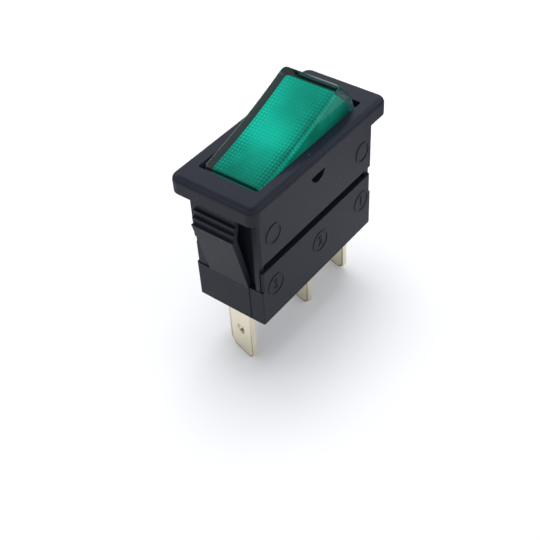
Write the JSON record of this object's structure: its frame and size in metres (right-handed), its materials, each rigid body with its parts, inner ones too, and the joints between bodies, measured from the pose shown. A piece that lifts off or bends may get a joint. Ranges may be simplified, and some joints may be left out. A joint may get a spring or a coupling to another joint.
{
  "type": "illuminated rocker switch",
  "caption": "Snap-in rocker switch with a lit green cap in a rounded black bezel, ratchet tongues at both ends and flat blades below.",
  "frame": {"origin": "centre of the bezel's underside, the plane that seats on the panel", "axes": "+Z out of the panel towards the finger, +X along the long side towards the supply blade, +Y across"},
  "size_m": [0.0354, 0.0156, 0.0429],
  "materials": {
    "housing_black": "semi-gloss black moulding",
    "base_black": "satin black moulding",
    "lens_clear": "clear polished moulding",
    "diffuser_green": "translucent green moulding",
    "carrier_black": "satin black moulding",
    "plunger_white": "low-friction moulding",
    "spring_steel": "drawn wire",
    "arm_brass": "stamped strip",
    "contact_silver": "silver alloy rivet",
    "terminal_tinned": "tinned brass strip",
    "lamp_glass": "blown glass",
    "electrode_nickel": "coated nickel rod",
    "lead_copper": "tinned copper wire",
    "resistor_ceramic": "coated ceramic"
  },
  "bodies": {
    "housing": {"upper_housing": "housing_black", "terminal_base": "base_black", "supply_terminal": "terminal_tinned", "load_terminal": "terminal_tinned", "lamp_terminal": "terminal_tinned", "fixed_contact": "contact_silver", "lamp_spring_load": "spring_steel", "lamp_spring_return": "spring_steel"},
    "rocker": {"rocker_lens": "lens_clear", "rocker_diffuser": "diffuser_green", "rocker_carrier": "carrier_black", "lamp_glass": "lamp_glass", "electrode_load": "electrode_nickel", "electrode_return": "electrode_nickel", "lamp_lead_load": "lead_copper", "lamp_lead_return": "lead_copper", "resistor_lead": "lead_copper", "series_resistor": "resistor_ceramic", "plunger_spring": "spring_steel"},
    "plunger": {"plunger": "plunger_white"},
    "contact_arm": {"contact_arm": "arm_brass", "moving_contact": "contact_silver"}
  },
  "joints": [
    {"name": "rocker_tilt", "type": "hinge", "parent": "housing", "child": "rocker", "pos_m": [0, 0, -0.00155], "axis": [0, 1, 0], "range_deg": [0, 36], "deforming": ["lamp_spring_load", "lamp_spring_return"]},
    {"name": "contact_tilt", "type": "hinge", "parent": "housing", "child": "contact_arm", "pos_m": [0, 0, -0.0159], "axis": [0, 1, 0], "range_deg": [-16, 0]},
    {"name": "plunger_slide", "type": "slide", "parent": "rocker", "child": "plunger", "axis": [-0.309, 0, 0.9511], "range_m": [0, 0.0008], "stiffness_N_per_m": 500, "springref_m": -0.004, "deforming": ["plunger_spring"]}
  ],
  "couplings": [
    {"joint": "contact_tilt", "follows": "rocker_tilt", "ratio": -0.44444}
  ]
}
